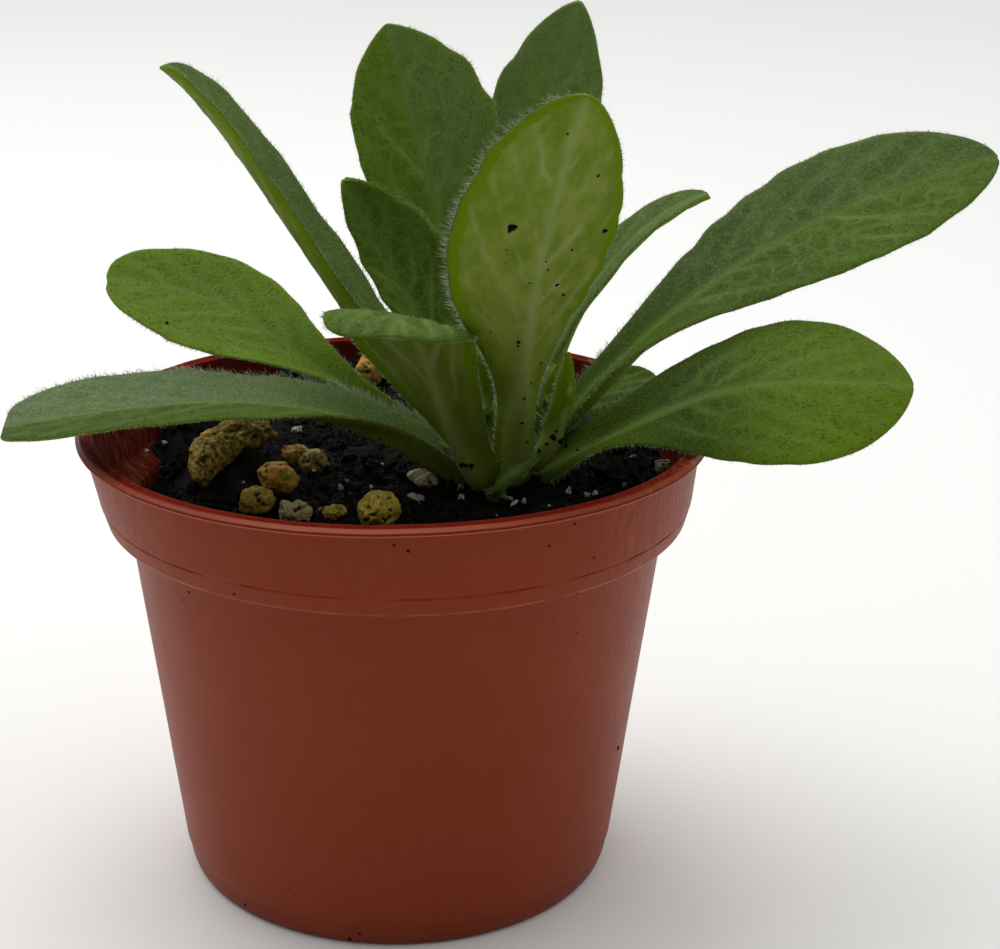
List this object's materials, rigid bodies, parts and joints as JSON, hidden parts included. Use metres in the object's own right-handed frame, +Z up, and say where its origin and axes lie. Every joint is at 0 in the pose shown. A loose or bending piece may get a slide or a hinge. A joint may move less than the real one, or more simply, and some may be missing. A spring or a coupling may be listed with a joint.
{
  "type": "potted primulina plant",
  "caption": "Rosette of spoon-shaped hairy leaves on a short stem, growing in peat with clay granules in a round tapered plastic nursery pot with a wide collar.",
  "frame": {"origin": "centre of the pot's base, on the surface that it stands on", "axes": "+Z up along the pot's axis, away from its base; the side that the picture shows faces -Y, with +X to its right"},
  "size_m": [0.1389, 0.09, 0.124],
  "materials": {
    "pot_plastic": "satin terracotta-coloured polypropylene",
    "peat": "rough damp peat with fibres",
    "stem": "soft hairy",
    "leaf": "fleshy, velvety with white hairs",
    "young_leaf": "fleshy, velvety with white hairs",
    "clay_granule": "rough pitted fired clay"
  },
  "bodies": {
    "root": {"pot": "pot_plastic", "soil": "peat", "crown": "stem", "leaf_left_low": "leaf", "leaf_left_upper": "leaf", "leaf_left_tall": "leaf", "leaf_mid_left": "leaf", "leaf_back_left": "leaf", "leaf_back_right": "leaf", "leaf_front_tall": "leaf", "leaf_front_left": "leaf", "leaf_right_tall": "leaf", "leaf_right_upper": "leaf", "leaf_right_low": "leaf", "leaf_right_small": "leaf", "leaf_young": "young_leaf", "leaf_young_pale": "young_leaf", "leaf_young_middle": "young_leaf", "granule_bean": "clay_granule", "granule_orange": "clay_granule", "granule_left_front": "clay_granule", "granule_flat": "clay_granule", "granule_front": "clay_granule", "granule_front_small": "clay_granule", "granule_near_rim": "clay_granule", "granule_chip": "clay_granule", "granule_back": "clay_granule", "granule_right": "clay_granule"}
  },
  "joints": []
}
